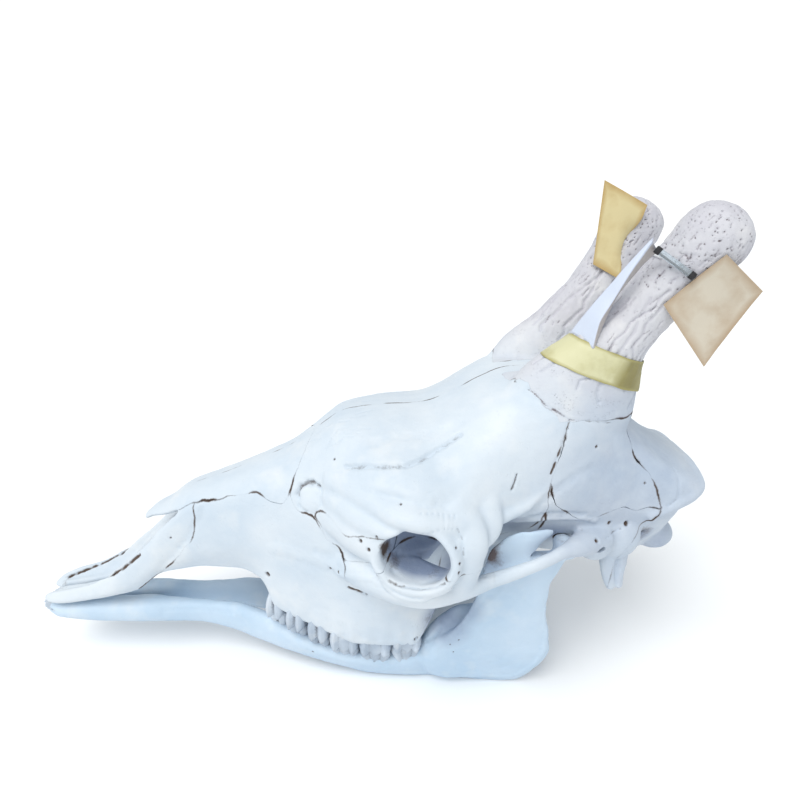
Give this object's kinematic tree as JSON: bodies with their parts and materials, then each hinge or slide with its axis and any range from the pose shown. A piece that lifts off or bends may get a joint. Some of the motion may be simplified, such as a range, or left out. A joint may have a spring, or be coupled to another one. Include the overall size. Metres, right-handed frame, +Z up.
{
  "type": "giraffe skull",
  "caption": "Life-size giraffe skull with its lower jaw, resting on the jaw, bones parted along their sutures, paper tags tied to the horns.",
  "frame": {"origin": "on the floor under the middle of the whole skull's box", "axes": "+X towards the back of the head, so the snout points to -X; the head's left side is -Y; +Z up"},
  "size_m": [0.6278, 0.2646, 0.465],
  "materials": {
    "bone": "bleached matte bone, bluish white, with brown suture cracks",
    "horn": "porous grey-white bone with vessel grooves",
    "jaw": "bleached matte bone, a little bluer",
    "tape": "pale yellow paper tape, satin, crumpled",
    "yellow_card": "matte cream-yellow card",
    "beige_card": "matte beige card with tan edges",
    "blue_paper": "smooth bluish white paper",
    "tube": "clear pale blue tube with black ends"
  },
  "bodies": {
    "root": {"frontal_left": "bone", "frontal_right": "bone", "horn_left": "horn", "horn_right": "horn", "lacrimal_left": "bone", "lacrimal_right": "bone", "mandible_left": "jaw", "mandible_right": "jaw", "maxilla_left": "bone", "maxilla_right": "bone", "nasal_left": "bone", "nasal_right": "bone", "premaxilla_left": "bone", "premaxilla_right": "bone", "temporal_left": "bone", "temporal_right": "bone", "zygomatic_left": "bone", "zygomatic_right": "bone", "occipital": "bone", "parietal": "bone", "sphenoid": "bone", "paper_band": "tape", "paper_slip": "blue_paper", "tag_beige": "beige_card", "tag_yellow": "yellow_card", "tie": "tube"}
  },
  "joints": []
}
